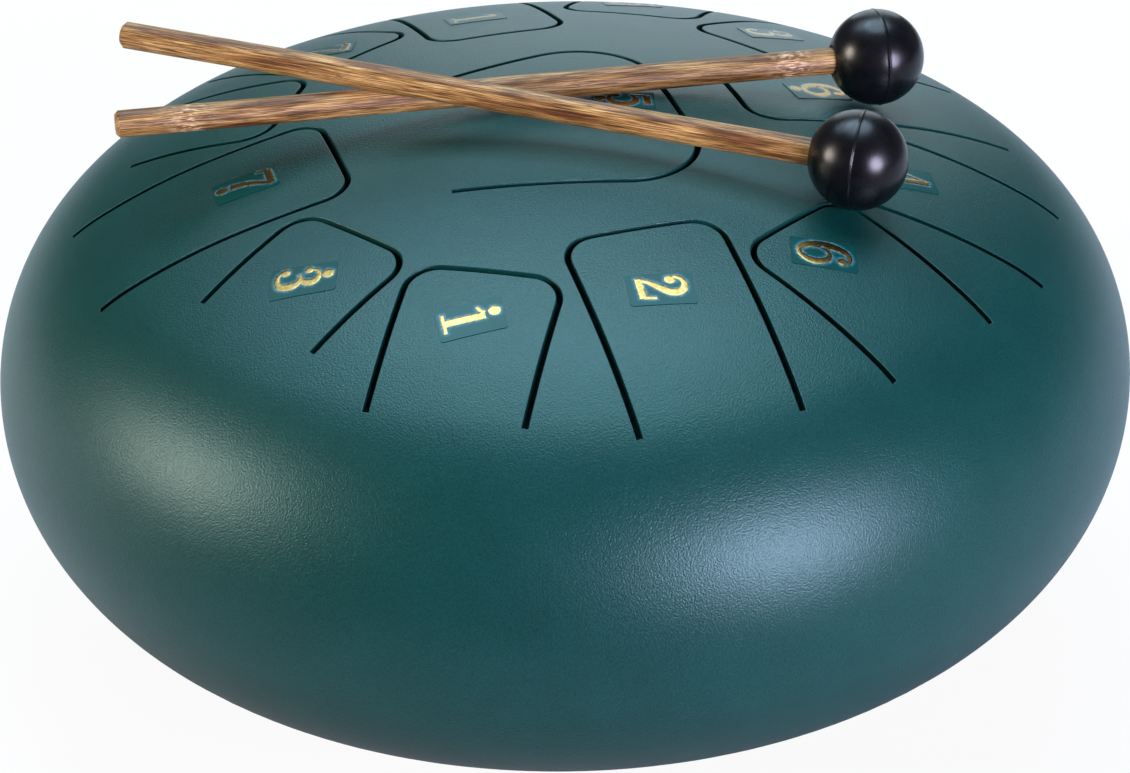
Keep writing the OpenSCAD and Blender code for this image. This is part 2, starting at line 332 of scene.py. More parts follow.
# a pressed shell with its wall, from plan lines of holes; side is 1 above and -1 below
def pressedShell(name, holesAt, spacing, side, material):
    points, faces, normals = [], [], []

    def add(block):
        points.append(block)
        return sum(len(p) for p in points[:-1])

    def addFaces(rows, rowNormals):
        for face, corner in zip(rows, rowNormals):
            faces.append([int(i) for i in face][::side])
            normals.extend(corner[::side])

    columns, wall, edge = drum["columns"], drum["wall"], drum["cutEdge"]
    ring = circleLine((0, 0), drum["plateRadius"], columns)
    layers = {"outer": (edge, spacing, 0.0, 1),
              "inner": (0.0, spacing * drum["insideCoarser"], -wall, -1)}
    lines, seam = {}, {}
    for layer, (grow, gap, height, facing) in layers.items():
        flat, tris, back = meshBetween([ring] + holesAt(grow), gap)
        z, n = onPressing(flat[:, 0], flat[:, 1], height)
        base = add(np.column_stack([flat, z]))
        tris, n = tris[:, ::facing], n * facing
        addFaces(tris + base, n[tris])
        lines[layer] = base + back

        # from the plate's edge out to the seam, by equal steps of the rim's arc
        arc = drum["rimArc"] + height
        steepest = math.acos((drum["plateRadius"] - rimX) / arc)
        angles = np.linspace(steepest, 0, drum["rimRows"] + 1)[1:]
        a, t = np.meshgrid(angles, fullTurn(columns), indexing="ij")
        r = rimX + arc * np.cos(a)
        base = add(np.stack([r * np.cos(t), r * np.sin(t), arc * np.sin(a)], 2).reshape(-1, 3))
        n = np.stack([np.cos(a) * np.cos(t), np.cos(a) * np.sin(t), np.sin(a)], 2)
        n = np.concatenate([onPressing(ring[:, 0], ring[:, 1], height)[1][None], n]) * facing
        rows = np.vstack([lines[layer][:columns],
                          base + np.arange(len(angles) * columns).reshape(-1, columns)])
        for i in range(len(angles)):
            for j in range(columns):
                k = (j + 1) % columns
                face = [rows[i, j], rows[i + 1, j], rows[i + 1, k], rows[i, k]]
                corner = [n[i, j], n[i + 1, j], n[i + 1, k], n[i, k]]
                addFaces([face[::facing]], [corner[::facing]])
        seam[layer] = rows[-1]

    # the seam's flat edge
    low, high = seam["inner"], seam["outer"]
    for j in range(columns):
        k = (j + 1) % columns
        addFaces([[high[j], low[j], low[k], high[k]]], [[np.array([0, 0, -1.0])] * 4])

    # each cut: a rounded edge in three steps, then straight down through the wall
    begin = columns
    for index, line in enumerate(holesAt(0.0)):
        count = len(line)
        top, foot = (lines[layer][begin:begin + count] for layer in ("outer", "inner"))
        begin += count
        wide = holesAt(edge)[index]
        way = line - wide
        way /= np.maximum(np.linalg.norm(way, axis=1, keepdims=True), 1e-9)
        into = np.column_stack([way, np.zeros(count)])
        surface = onPressing(wide[:, 0], wide[:, 1])[1]
        rows, rowNormals = [top], [surface]
        for t in roundingSteps:
            s, c = math.sin(math.radians(t)), math.cos(math.radians(t))
            plan = wide + (line - wide) * s
            z = onPressing(plan[:, 0], plan[:, 1])[0] - edge * (1 - c)
            rows.append(np.arange(count) + add(np.column_stack([plan, z])))
            n = surface * c + into * s
            rowNormals.append(n / np.linalg.norm(n, axis=1, keepdims=True))
        rows.append(foot)
        rowNormals.append(into)
        flat = np.vstack(points)
        start, beside, under = flat[top[0]], flat[top[1]], flat[rows[1][0]]
        facing = 1 if np.dot(np.cross(beside - start, under - start), surface[0]) > 0 else -1
        for a, b, na, nb in zip(rows, rows[1:], rowNormals, rowNormals[1:]):
            for j in range(count):
                k = (j + 1) % count
                face, corner = [a[j], a[k], b[k], b[j]], [na[j], na[k], nb[k], nb[j]]
                addFaces([face[::facing]], [corner[::facing]])

    flat = np.vstack(points)
    flat[:, 2] = seamZ + side * flat[:, 2]
    turnedNormals = np.array(normals) * [1, 1, side]
    return newObject(name, flat * mm, faces, material, turnedNormals)


# camera: the photo's own view, from in front and above
view = {"lens": 108.63, "distance": 930.398, "elevation": 29.371, "yaw": -0.055,
        "pitch": -0.557, "roll": 0.988, "shiftX": -0.0033, "shiftY": -0.0007}


def placeCamera():
    lift = math.radians(view["elevation"])
    away = Vector((0, -math.cos(lift), math.sin(lift)))
    right, up, back = Vector((1, 0, 0)), away.cross(Vector((1, 0, 0))), away.copy()
    for name in ("yaw", "pitch", "roll"):
        axis = {"yaw": up, "pitch": right, "roll": -back}[name]
        spin = Matrix.Rotation(math.radians(view[name]), 3, axis)
        right, up, back = spin @ right, spin @ up, spin @ back
    data = bpy.data.cameras.new("camera")
    data.sensor_width, data.sensor_fit, data.lens = 36, "HORIZONTAL", view["lens"]
    data.shift_x, data.shift_y = view["shiftX"], view["shiftY"]
    data.clip_start, data.clip_end = 0.05, 50
    camera = bpy.data.objects.new("camera", data)
    turn = Matrix((right, up, back)).transposed().to_4x4()
    place = (away * view["distance"] + Vector((0, 0, seamZ))) * mm
    camera.matrix_world = Matrix.Translation(place) @ turn
    scene.collection.objects.link(camera)
    scene.camera = camera


placeCamera()
print("camera placed")


# powder-coated steel: polyester powder baked on, a satin skin with a fine pebble, drawn a little
# coarser than the real one so that it shows
def powderCoat():
    look = {"colour": "#0a423d", "roughness": 0.36, "tint": (0.68, 1.0, 0.98, 1),
            "pebble": 0.46, "mottle": 14.0, "relief": 0.12}
    material, tree, shader = newMaterial("powder_coat_teal_satin", look)
    place = addNode(tree, "ShaderNodeTexCoord").outputs["Object"]
    mottle = addNode(tree, "ShaderNodeTexNoise", {
        "Vector": place, "Scale": 1000 / look["mottle"], "Detail": 3.0})
    pebble = addNode(tree, "ShaderNodeTexNoise", {
        "Vector": place, "Scale": 1000 / look["pebble"], "Detail": 2.0})
    cloud = addNode(tree, "ShaderNodeValToRGB", {"Fac": mottle})
    setStops(cloud, [(0.3, "#09403b"), (0.7, "#0b443f")])
    speck = addNode(tree, "ShaderNodeValToRGB", {"Fac": pebble})
    setStops(speck, [(0.36, "#d0d0d0"), (0.64, "#ffffff")])
    tint = addNode(tree, "ShaderNodeMix", {0: 1.0, 6: cloud, 7: speck},
                   data_type="RGBA", blend_type="MULTIPLY")
    bump = addNode(tree, "ShaderNodeBump", {
        "Height": pebble, "Strength": 1.0, "Distance": look["relief"] * mm})
    setInputs(tree, shader, {"Base Color": tint.outputs[2], "Normal": bump})
    return material


def dress(piece, slot, body, *replaced):
    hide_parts(*replaced)
    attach(piece, body)


paint = powderCoat()
upperPressing = pressedShell("pressing_upper", allSlits, drum["upperGrid"], 1, paint)
dress(upperPressing, "shell_paint", "drum", "upper_shell")
print("upper pressing made")

# the feet's circle, and one foot: widths at its seat and its lower face, rubber under the screw's
# head, the recess's and the screw hole's radius
feet = {"ring": 72.0, "count": 4, "firstTurn": 45, "height": 13.0, "seat": 27.0, "end": 22.0,
        "grip": 5.5, "recess": 5.0, "hole": 2.25, "sides": 64}


def lowerHoles(grow):
    lines = [circleLine((0, 0), drum["soundHole"] + grow, 240)]
    for i in range(feet["count"]):
        a = math.radians(feet["firstTurn"] + 360 * i / feet["count"])
        middle = (feet["ring"] * math.cos(a), feet["ring"] * math.sin(a))
        lines.append(circleLine(middle, drum["screwHole"] + grow, 24))
    return lines


lowerPressing = pressedShell("pressing_lower", lowerHoles, drum["lowerGrid"], -1, paint)
dress(lowerPressing, "shell_paint", "drum", "lower_shell")
print("lower pressing made")


# labels: a clear film with a stamped foil numeral, in millimetres; low and high are heights over
# the paint, lip and foil the foil's height over the film at its edge and on from there
labels = {
    "length": 16.5, "width": 10.5, "corner": 0.5,
    "rimStep": 0.55, "filmGrid": 0.5, "foilGrid": 0.42,
    "low": 0.03, "high": 0.15, "sunk": 0.05, "lip": 0.01, "foil": 0.05, "bevel": 0.25, "halo": 1.2,
    # middle in shares of the drum's radius, turn in degrees
    "places": {"low_5": (0.108, 0.01, 2), "low_6": (0.453, 0.138, 22),
               "low_7": (-0.534, -0.155, 13), "1": (-0.156, 0.512, 13), "2": (0.155, -0.545, 8),
               "3": (0.39, 0.459, 22), "4": (0.579, -0.148, 8), "5": (0.138, 0.656, 6),
               "6": (0.423, -0.42, 0), "7": (-0.43, 0.41, -4), "high_1": (-0.148, -0.604, 11.5),
               "high_2": (-0.59, 0.158, 3), "high_3": (-0.42, -0.463, -2)},
    # share of the height and shift that make room for the dot, and where the dot stands
    "octaves": {"": (1, 0, None), "low": (0.84, 1.4, -6.1), "high": (0.84, -1.4, 6.1)},
    "dotShift": -1.0, "dotSize": 3.1,
}

# each numeral's strokes: (right, up, width) along the stroke's middle, a lone one is a dot
numerals = {
    "1": [[(-3.3, 4.1, 0.7), (-2.1, 4.9, 1.0), (-0.9, 5.9, 1.2)],
          [(-0.1, 6.1, 2.2), (-0.1, -6.0, 2.2)], [(-3.2, -6.15, 0.9), (3.0, -6.15, 0.9)]],
    "2": [[(-3.1, 2.6, 2.8)],
          [(-3.2, 2.4, 1.2), (-4.0, 3.9, 1.2), (-3.2, 5.4, 1.3), (-1.5, 6.0, 1.5), (0.4, 5.4, 2.0),
           (1.3, 3.6, 2.4), (0.9, 1.6, 2.3), (-0.8, -0.7, 1.9), (-2.4, -2.8, 1.4),
           (-3.4, -4.8, 1.0)],
          [(-4.0, -5.2, 1.8), (3.0, -4.8, 1.8)], [(2.7, -4.6, 1.3), (3.0, -1.5, 0.8)]],
    "3": [[(-3.3, 3.2, 2.2)],
          [(-3.3, 3.4, 0.9), (-3.0, 5.4, 1.0), (-1.5, 6.2, 1.2), (0.4, 5.7, 1.8), (1.3, 3.8, 2.4),
           (0.6, 1.7, 1.8), (-0.5, 1.0, 1.0), (-2.2, 0.5, 0.9)],
          [(-0.9, 0.8, 0.9), (1.0, -0.2, 1.9), (1.7, -2.5, 2.5), (1.1, -5.0, 2.1),
           (-0.6, -6.2, 1.4), (-2.6, -6.1, 1.1), (-3.8, -4.9, 1.0)], [(-3.6, -3.9, 2.5)]],
    "4": [[(1.0, 6.4, 0.9), (-1.4, 1.8, 1.0), (-3.7, -2.6, 1.1)],
          [(-3.9, -2.7, 1.2), (3.7, -2.7, 1.2)], [(1.2, 6.2, 2.1), (1.2, -6.0, 2.1)],
          [(-0.9, -6.15, 0.9), (3.3, -6.15, 0.9)]],
    "5": [[(-2.5, 5.7, 1.7), (2.9, 5.9, 1.7)], [(-2.5, 5.9, 0.9), (-2.9, 0.7, 0.9)],
          [(-2.8, 0.9, 0.9), (-1.2, 2.1, 1.3), (1.1, 1.9, 2.0), (2.6, 0.1, 2.4), (2.8, -2.2, 2.5),
           (1.9, -4.7, 2.0), (-0.3, -6.1, 1.3), (-2.3, -5.8, 1.1), (-3.3, -4.6, 1.0)],
          [(-2.9, -3.9, 2.5)]],
    "6": [[(2.0, 4.5, 2.5)],
          [(2.4, 4.8, 1.0), (2.0, 6.0, 1.0), (0.5, 6.5, 1.1), (-1.6, 5.5, 1.8), (-3.0, 3.0, 2.4),
           (-3.4, -0.6, 2.6), (-2.8, -4.0, 2.1), (-1.0, -6.0, 1.4), (0.9, -6.0, 1.4),
           (2.7, -4.2, 2.0), (3.1, -2.0, 2.3), (2.4, 0.2, 1.9), (0.7, 1.4, 1.2),
           (-1.2, 0.9, 1.0), (-2.6, -0.6, 0.9)]],
    "7": [[(-3.9, 5.9, 2.0), (3.3, 5.9, 2.0)], [(-4.1, 5.9, 1.0), (-4.2, 2.4, 0.8)],
          [(3.2, 6.0, 1.4), (1.4, 2.4, 1.6), (-0.4, -1.6, 2.1), (-1.1, -6.3, 2.7)]],
}


# the outlines of a numeral's strokes, smoothed along each stroke, in the label's own plan
def strokeLines(name):
    octave, digit = name.split("_") if "_" in name else ("", name)
    squeeze, shift, dot = labels["octaves"][octave]
    strokes = [[(a, b * squeeze + shift, w) for a, b, w in stroke] for stroke in numerals[digit]]
    if dot:
        strokes.append([(labels["dotShift"], dot, labels["dotSize"])])
    lines = []
    for stroke in strokes:
        p = np.array(stroke, float)
        if len(p) == 1:
            lines.append(circleLine(p[0, :2], p[0, 2] / 2, 28))
            continue
        if len(p) > 3:  # a smooth curve through the points
            ends = np.vstack([2 * p[0] - p[1], p, 2 * p[-1] - p[-2]])
            fine = []
            for a, b, c, d in zip(ends, ends[1:], ends[2:], ends[3:]):
                for t in np.linspace(0, 1, 7)[:-1]:
                    square = (2 * a - 5 * b + 4 * c - d) * t * t
                    cube = (3 * b - 3 * c + d - a) * t ** 3
                    fine.append(0.5 * (2 * b + (c - a) * t + square + cube))
            p = np.array(fine + [p[-1]])
        way = np.gradient(p[:, :2], axis=0)
        way /= np.linalg.norm(way, axis=1, keepdims=True)
        across = np.column_stack([-way[:, 1], way[:, 0]]) * p[:, 2:3] / 2
        corners = np.vstack([p[:, :2] + across, (p[:, :2] - across)[::-1]])
        fine = []
        for a, b in zip(corners, np.roll(corners, -1, 0)):
            fine += split(a, b, 0.4)
        lines.append(np.array(fine))
    return [np.column_stack([line[:, 1], -line[:, 0]]) for line in lines]


# the edges that only one triangle has
def rimEdges(tris):
    edges = {}
    for a, b, c in tris.tolist():
        for pair in ((a, b), (b, c), (c, a)):
            edges[pair] = True
    return [pair for pair in edges if pair[::-1] not in edges]


# a closed plate over flat triangles, top height given for each point
def plateOver(flat, tris, low, high):
    count = len(flat)
    under = np.column_stack([flat, np.full(count, low)])
    faces = tris.tolist() + (tris[:, ::-1] + count).tolist()
    faces += [[b, a, a + count, b + count] for a, b in rimEdges(tris)]
    return np.vstack([np.column_stack([flat, high]), under]), faces


# a plate's flat points laid on the dome, each at its own height over the paint
def onDome(points, turn, x, y):
    plan = turned(points[:, :2], turn) + [x * drum["radius"], y * drum["radius"]]
    z, n = onPressing(plan[:, 0], plan[:, 1])
    return np.column_stack([plan, z + seamZ]) + n * points[:, 2:3]


def distanceTo(flat, line):
    return np.sqrt(((flat[:, None, :] - line[None, :, :]) ** 2).sum(2).min(1))


# the foil's flat shape: every stroke at once, with crossings resolved, and a fine grid inside
def foilSheet(name):
    lines, step = strokeLines(name), labels["foilGrid"]
    fixed = np.vstack(lines)
    gx, gy = np.meshgrid(np.arange(-8, 8, step), np.arange(-5, 5, step))
    grid = np.column_stack([gx.ravel(), gy.ravel()])
    grid = grid[np.any([insideLine(grid, line) for line in lines], 0)]
    dense = np.vstack([fixed, (fixed + np.roll(fixed, 1, 0)) / 2])
    grid = grid[distanceTo(grid, dense) > step * 0.4]
    flat, tris, _ = triangulate(np.vstack([fixed, grid]), lines, 1e-5)
    tris = tris[np.any([insideLine(flat[tris].mean(1), line) for line in lines], 0)]
    tris, area = facingUp(flat, tris)
    used, tris = np.unique(tris[area > 1e-7], return_inverse=True)
    return flat[used], tris.reshape(-1, 3)


# polypropylene film: clear and glossy, so it shows the paint under it, and paler round the foil
def clearFilm():
    look = {"colour": "#094440", "roughness": 0.24, "tint": (0.68, 1.0, 0.98, 1),
            "specular": 0.2, "cloud": 0.9}
    material, tree, shader = newMaterial("clear_film_on_teal_gloss", look)
    place = addNode(tree, "ShaderNodeTexCoord").outputs["Object"]
    cloud = addNode(tree, "ShaderNodeTexNoise", {
        "Vector": place, "Scale": 1000 / look["cloud"], "Detail": 3.0})
    halo = addNode(tree, "ShaderNodeAttribute", attribute_name="halo")
    broken = addNode(tree, "ShaderNodeMath", {
        0: halo.outputs["Fac"], 1: cloud}, operation="MULTIPLY")
    # the film's colour turns paler near the foil's strokes, following the halo attribute broken up
    # by noise
    paleRing = addNode(tree, "ShaderNodeValToRGB", {"Fac": broken})
    setStops(paleRing, [(0.1, "#094440"), (0.3, "#245c60"), (0.6, "#6c8d94")])
    setInputs(tree, shader, {"Base Color": paleRing})
    return material


film = clearFilm()


# bare metal, a little uneven in tone; heightFrom gives its height where that has another pattern
def bareMetal(name, look, heightFrom=None):
    material, tree, shader = newMaterial(name, {"metallic": 1.0, **look})
    place = addNode(tree, "ShaderNodeTexCoord").outputs["Object"]
    mark = addNode(tree, "ShaderNodeTexNoise", {
        "Vector": place, "Scale": 1000 / look["mark"], "Detail": 2.0})
    tone = addNode(tree, "ShaderNodeValToRGB", {"Fac": mark})
    setStops(tone, look["tones"])
    height = heightFrom(tree, place) if heightFrom else mark
    bump = addNode(tree, "ShaderNodeBump", {
        "Height": height, "Strength": look["bump"], "Distance": look["relief"] * mm})
    setInputs(tree, shader, {"Base Color": tone, "Normal": bump})
    return material


# hot-stamped foil: a thin brassy skin, bright and a little uneven where it was pressed
foil = bareMetal("stamped_gold_foil", {
    "colour": "#b0935a", "roughness": 0.24, "mark": 0.9, "bump": 0.15, "relief": 0.03,
    "tones": [(0.35, "#96793f"), (0.65, "#b0925a")]})


def makeLabel(name, x, y, turn):
    high, c = labels["high"], labels["corner"]
    long, wide = labels["length"] / 2, labels["width"] / 2
    corners = [(long - c, -wide), (long, -wide + c), (long, wide - c), (long - c, wide),
               (c - long, wide), (-long, wide - c), (-long, c - wide), (c - long, -wide)]
    rim = []
    for a, b in zip(corners, corners[1:] + corners[:1]):
        rim += split(np.array(a), np.array(b), labels["rimStep"])
    flatFoil, foilTris = foilSheet(name)
    flatFilm, filmTris = meshBetween([np.array(rim)], labels["filmGrid"])[:2]
    halo = np.clip(1 - distanceTo(flatFilm, flatFoil) / labels["halo"], 0, 1)
    border = flatFoil[sorted({a for a, b in rimEdges(foilTris)})]
    bevel = np.clip(distanceTo(flatFoil, border) / labels["bevel"], 0, 1)
    foilTop = high + labels["lip"] + labels["foil"] * bevel
    filmTop = np.full(len(flatFilm), high)
    filmPoints, filmFaces = plateOver(flatFilm, filmTris, labels["low"], filmTop)
    foilPoints, foilFaces = plateOver(flatFoil, foilTris, high - labels["sunk"], foilTop)
    points = np.vstack([filmPoints, foilPoints])
    faces = filmFaces + [[i + len(filmPoints) for i in face] for face in foilFaces]
    piece = newObject("label_sticker_" + name, onDome(points, turn, x, y) * mm, faces, film)
    piece.data.materials.append(foil)
    materials = [0] * len(filmFaces) + [1] * len(foilFaces)
    piece.data.polygons.foreach_set("material_index", materials)
    giveAttribute(piece, "halo", np.concatenate([halo, halo, np.zeros(len(foilPoints))]))
    piece.data.shade_smooth()
    piece.data.set_sharp_from_angle(angle=math.radians(40))
    dress(piece, "label_film", "drum", "label_" + name)


for name, (x, y, turn) in labels["places"].items():
    makeLabel(name, x, y, turn)
print("labels made")


# mallets, in millimetres: each stick's line and head come from its CAD nodes
mallets = {
    "stick": 7.0, "chamfer": 0.9, "along": 1.2, "stickSides": 56,
    "ball": 12.75, "seam": 0.15, "seamWidth": 0.3, "hole": 3.55, "lip": 0.4, "ballSides": 120,
    "farRows": 44, "nearRows": 38, "gap": 0.02,
    "past": {"lower": 0.5, "upper": 7.0},  # how far each stick reaches past the ball's middle
    "grainStart": {"lower": 0.0, "upper": 400.0},  # so that the two sticks' grain differs
    "scuffs": {"lower": [24, 184], "upper": [-60]}, "scuffLength": 5.0,
}


def malletLine(name):
    points = np.array([v.co for v in nodes[name + "_mallet_stick"].data.vertices]) / mm
    way = np.linalg.svd(points - points.mean(0), full_matrices=False)[2][0]
    head = np.array(sum(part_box(name + "_mallet_head"), Vector())) / 2 / mm
    if np.dot(points.mean(0) - head, way) < 0:
        way = -way
    run = (points - head) @ way
    return head, way, run.min(), run.max()


# bamboo turned to a stick, stained and lacquered: brown, with dark broken fibres along it and a
# soft shine; each pattern's size is along and across the stick
def stainedBamboo():
    look = {"colour": "#8d6238", "roughness": 0.5, "fibre": (8, 0.2), "band": (30, 2.0),
            "pore": (3.0, 0.22), "dash": (2.2, 0.4), "relief": 0.1}
    material, tree, shader = newMaterial("stained_bamboo_lacquered", look)
    grain = addNode(tree, "ShaderNodeAttribute", attribute_name="grain").outputs["Vector"]

    def streaks(size, detail):
        long, across = size
        place = addNode(tree, "ShaderNodeMapping", {
            "Vector": grain, "Scale": (1 / long, 1 / across, 1 / across)})
        noise = {"Vector": place, "Scale": 1.0, "Detail": detail}
        return addNode(tree, "ShaderNodeTexNoise", noise)

    fibre, band = streaks(look["fibre"], 3.0), streaks(look["band"], 2.0)
    pore = streaks(look["pore"], 1.0)
    tone = addNode(tree, "ShaderNodeValToRGB", {"Fac": fibre})
    setStops(tone, [(0.34, "#4a2f14"), (0.43, "#856032"), (0.53, "#b48d52"), (0.66, "#e2bd82")])
    shade = addNode(tree, "ShaderNodeValToRGB", {"Fac": band})
    setStops(shade, [(0.34, "#957455"), (0.48, "#dccbb2"), (0.6, "#fff8ec")])
    wide = addNode(tree, "ShaderNodeMix", {0: 1.0, 6: tone, 7: shade},
                   data_type="RGBA", blend_type="MULTIPLY")
    dark = addNode(tree, "ShaderNodeMapRange", {
        "Value": pore, "From Min": 0.62, "From Max": 0.74, "To Max": 0.75})
    full = addNode(tree, "ShaderNodeMix", {
        0: dark, 6: wide.outputs[2], 7: linear("#2c1a0d")}, data_type="RGBA")
    # pale scuffs where the culm's knots were scraped off
    scuff = addNode(tree, "ShaderNodeAttribute", attribute_name="scuff")
    dash = addNode(tree, "ShaderNodeMapRange", {
        "Value": streaks(look["dash"], 1.0), "From Min": 0.5, "From Max": 0.62})
    pale = addNode(tree, "ShaderNodeMath", {
        0: dash, 1: scuff.outputs["Fac"]}, operation="MULTIPLY")
    full = addNode(tree, "ShaderNodeMix", {
        0: pale, 6: full.outputs[2], 7: linear("#e2bd8c")}, data_type="RGBA")
    bump = addNode(tree, "ShaderNodeBump", {
        "Height": fibre, "Strength": 0.7, "Distance": look["relief"] * mm})
    setInputs(tree, shader, {"Base Color": full.outputs[2], "Normal": bump})
    return material


# moulded rubber: near black with an uneven skin, satin on the balls and matt on the feet
def mouldedRubber(name, look):
    material, tree, shader = newMaterial(name, {"specular": 0.4, **look})
    place = addNode(tree, "ShaderNodeTexCoord").outputs["Object"]
    bloom = addNode(tree, "ShaderNodeTexNoise", {
        "Vector": place, "Scale": 1000 / look["bloom"], "Detail": 4.0})
    rough = addNode(tree, "ShaderNodeMapRange", {
        "Value": bloom, "From Min": 0.3, "From Max": 0.7,
        "To Min": look["roughness"] - 0.05, "To Max": look["roughness"] + 0.05})
    skin = addNode(tree, "ShaderNodeValToRGB", {"Fac": bloom})
    setStops(skin, [(0.3, look["colour"]), (0.7, look["dust"])])
    setInputs(tree, shader, {"Base Color": skin, "Roughness": rough})
    return material


bamboo = stainedBamboo()
ballRubber = mouldedRubber("moulded_rubber_black_satin", {
    "colour": "#070709", "dust": "#0c0c11", "roughness": 0.28, "bloom": 5.0})
footRubber = mouldedRubber("moulded_rubber_black_matt", {
    "colour": "#121213", "dust": "#1d1d1f", "roughness": 0.6, "bloom": 3.0})


def makeStick(name, head, way, first, last):
    r, c = mallets["stick"] / 2, mallets["chamfer"]
    runs = np.linspace(first + c, last - c, math.ceil((last - first) / mallets["along"]))
    profile = [(first, r - c - 1), (first, r - c), *[(run, r) for run in runs]]
    profile += [(last, r - c), (last, r - c - 1)]
    rings = [ringAt(head, way, run, radius, mallets["stickSides"]) for run, radius in profile]
    stick = ringSolid("mallet_stick_" + name, rings, bamboo)
    flat = np.array([v.co for v in stick.data.vertices]) / mm - head
    side = np.cross(way, [0, 0, 1.0])
    along, across = flat @ way, [flat @ side, flat @ np.cross(side, way)]
    giveAttribute(stick, "grain", np.column_stack([along + mallets["grainStart"][name], *across]))
    scuffs = sum(np.exp(-((along - place) / mallets["scuffLength"]) ** 2)
                 for place in mallets["scuffs"][name])
    giveAttribute(stick, "scuff", scuffs)
    dress(stick, "stick_wood", name + "_mallet", name + "_mallet_stick")


# the ball, from its far pole over the parting line to the hole's lip and down the blind hole
def makeHead(name, head, way):
    ball, hole, lip = mallets["ball"], mallets["hole"], mallets["lip"]
    step = mallets["seamWidth"] / 2 / ball
    seam = math.pi / 2 + step * np.array([2.5, 1.0, 0.5, 0, -0.5, -1.0, -2.5])
    mouth = math.asin((hole + lip) / ball)
    farSide = np.linspace(math.pi - 0.05, seam[0] + 0.03, mallets["farRows"])
    nearSide = np.linspace(seam[-1] - 0.03, mouth, mallets["nearRows"])
    angles = np.concatenate([farSide, seam, nearSide])
    ridge = np.clip(1.6 - np.abs(angles - math.pi / 2) / step, 0, 1)
    raised = ball + mallets["seam"] * ridge
    profile = list(zip(np.cos(angles) * raised, np.sin(angles) * raised))
    rim = profile[-1][0]
    for t in roundingSteps:
        a = math.radians(t)
        profile.append((rim - lip * (1 - math.cos(a)), hole + lip * (1 - math.sin(a))))
    bottom = -mallets["past"][name] - mallets["gap"]
    profile += [(bottom, hole), (bottom, hole / 2)]
    rings = [ringAt(head, way, run, radius, mallets["ballSides"]) for run, radius in profile]
    piece = ringSolid("mallet_head_" + name, rings, ballRubber, sharp=50)
    dress(piece, "head_rubber", name + "_mallet", name + "_mallet_head")


for name in ("lower", "upper"):
    head, way, first, last = malletLine(name)
    makeStick(name, head, way, first, last)
    makeHead(name, head, way)
print("mallets made")


# zinc plating: pale grey, a little blue, with fine turning marks
steel = bareMetal("zinc_plated_steel", {
    "colour": "#b9bdc2", "roughness": 0.28, "mark": 0.4, "bump": 0.3, "relief": 0.02,
    "tones": [(0.3, "#a3a8ae"), (0.7, "#c6cacf")]})


# the ripples of a bead laid round the seam, this many millimetres apart
def weldRipples(tree, place, apart=1.4):
    parts = addNode(tree, "ShaderNodeSeparateXYZ", {"Vector": place})
    turn = addNode(tree, "ShaderNodeMath", {
        0: parts.outputs["Y"], 1: parts.outputs["X"]}, operation="ARCTAN2")
    count = round(2 * math.pi * (drum["radius"] - drum["wall"]) / apart)
    wave = addNode(tree, "ShaderNodeMath", {0: turn, 1: float(count)}, operation="MULTIPLY")
    return addNode(tree, "ShaderNodeMath", {0: wave}, operation="SINE")


# weld metal: dark steel, a little tinted by its heat
weldMetal = bareMetal("weld_bead_steel", {
    "colour": "#4a4a4d", "roughness": 0.45, "mark": 8, "bump": 0.8, "relief": 0.15,
    "tones": [(0.3, "#3d3d42"), (0.7, "#5c5852")]}, weldRipples)
nodes["seam_weld"].data.materials.clear()
nodes["seam_weld"].data.materials.append(weldMetal)


# one tree for all that repeats round the drum: copies of a piece, turned about the drum's axis
def ringTree():
    tree = bpy.data.node_groups.new("pieces_round_the_drum", "GeometryNodeTree")
    kinds = {"Piece": "Object", "Count": "Int", "First turn": "Float", "Material": "Material"}
    for name, kind in kinds.items():
        tree.interface.new_socket(name, in_out="INPUT", socket_type="NodeSocket" + kind)
    tree.interface.new_socket("Geometry", in_out="OUTPUT", socket_type="NodeSocketGeometry")
    given = addNode(tree, "NodeGroupInput").outputs
    places = addNode(tree, "GeometryNodePoints", {"Count": given["Count"]})
    share = addNode(tree, "ShaderNodeMath", {
        0: 2 * math.pi, 1: given["Count"]}, operation="DIVIDE")
    index = addNode(tree, "GeometryNodeInputIndex")
    turn = addNode(tree, "ShaderNodeMath", {
        0: index, 1: share, 2: given["First turn"]}, operation="MULTIPLY_ADD")
    spin = addNode(tree, "ShaderNodeCombineXYZ", {"Z": turn})
    rotation = addNode(tree, "FunctionNodeEulerToRotation", {0: spin})
    piece = addNode(tree, "GeometryNodeObjectInfo", {"Object": given["Piece"]})
    copies = addNode(tree, "GeometryNodeInstanceOnPoints", {
        "Points": places, "Instance": piece.outputs["Geometry"],
        "Rotation": rotation})
    real = addNode(tree, "GeometryNodeRealizeInstances", {"Geometry": copies})
    finish = addNode(tree, "GeometryNodeSetMaterial", {
        "Geometry": real, "Material": given["Material"]})
    addNode(tree, "NodeGroupOutput", {"Geometry": finish})
    return tree


aroundDrum = ringTree()


# one plain mesh of all the copies; the piece itself and the holder of the tree are removed
def copiesRound(piece, material, name):
    holder = bpy.data.objects.new("holder", bpy.data.meshes.new("holder"))
    scene.collection.objects.link(holder)
    modifier = holder.modifiers.new("round", "NODES")
    modifier.node_group = aroundDrum
    values = {"Piece": piece, "Count": feet["count"],
              "First turn": math.radians(feet["firstTurn"]), "Material": material}
    for socket in aroundDrum.interface.items_tree:
        if socket.in_out == "INPUT":
            modifier[socket.identifier] = values[socket.name]
    holder.update_tag()
    graph = bpy.context.evaluated_depsgraph_get()
    mesh = bpy.data.meshes.new_from_object(holder.evaluated_get(graph))
    for old in (holder, piece):
        bpy.data.objects.remove(old)
    whole = bpy.data.objects.new(name, mesh)
    scene.collection.objects.link(whole)
    return whole


